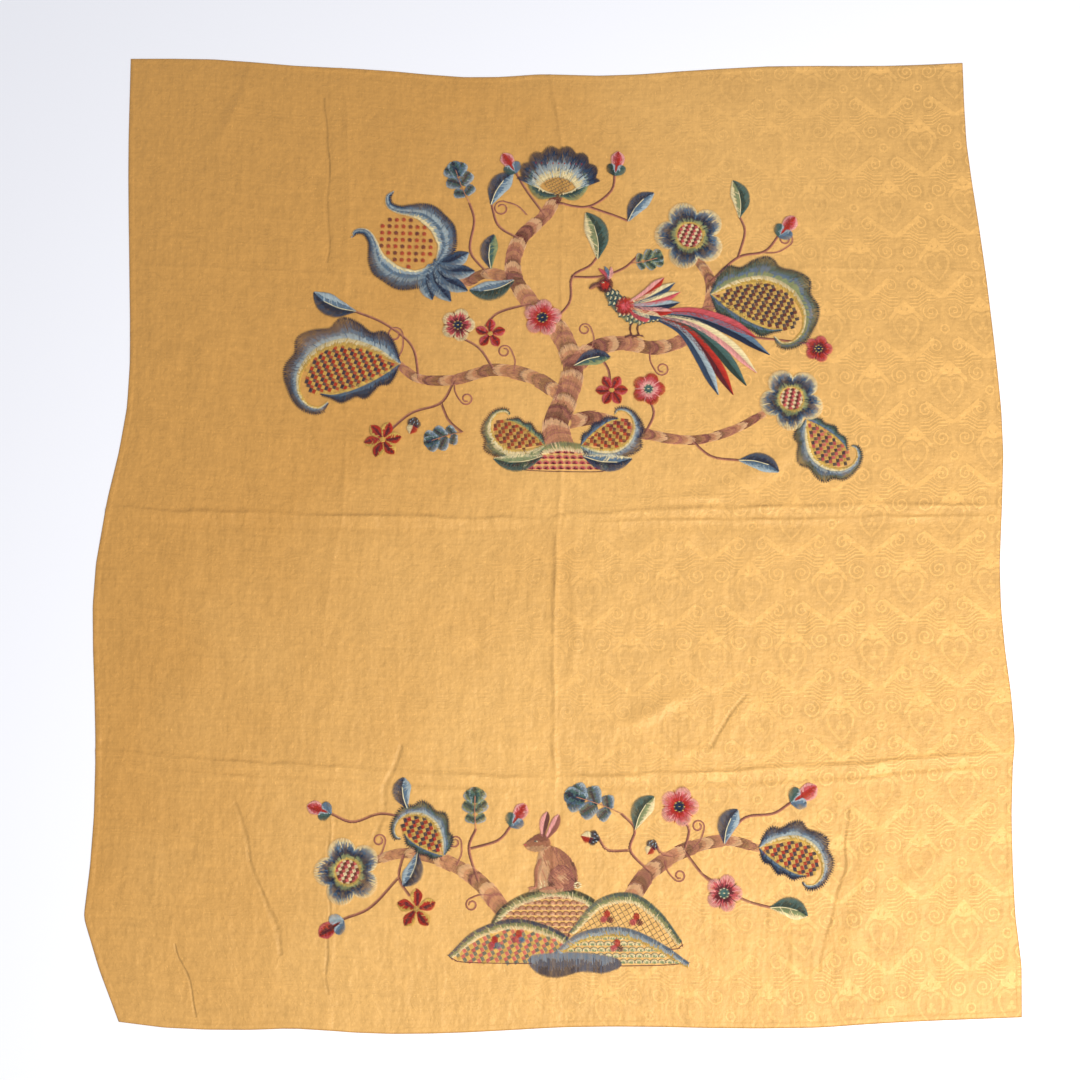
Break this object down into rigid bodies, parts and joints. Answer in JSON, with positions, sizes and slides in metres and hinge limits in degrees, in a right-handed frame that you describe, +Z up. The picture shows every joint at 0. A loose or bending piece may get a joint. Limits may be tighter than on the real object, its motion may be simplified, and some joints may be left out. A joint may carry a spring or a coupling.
{
  "type": "crewel embroidery panel",
  "caption": "Hemmed panel of gold silk damask with crewel wool embroidery, opened out flat with the creases of its storage folds.",
  "frame": {"origin": "middle of the sheet's box, on the surface that the panel lies on", "axes": "+X across the panel to the right as its design is seen, +Y to its top edge, +Z up out of the embroidered face"},
  "size_m": [1.3676, 1.4915, 0.006],
  "materials": {
    "gold_silk_damask": "woven gold silk damask, softly lustrous, with a low tone-on-tone pattern",
    "crewel_wool": "matt two-ply crewel wool in shaded blues, greens, creams, reds and browns"
  },
  "bodies": {
    "root": {"ground_cloth": "gold_silk_damask"}
  },
  "joints": []
}
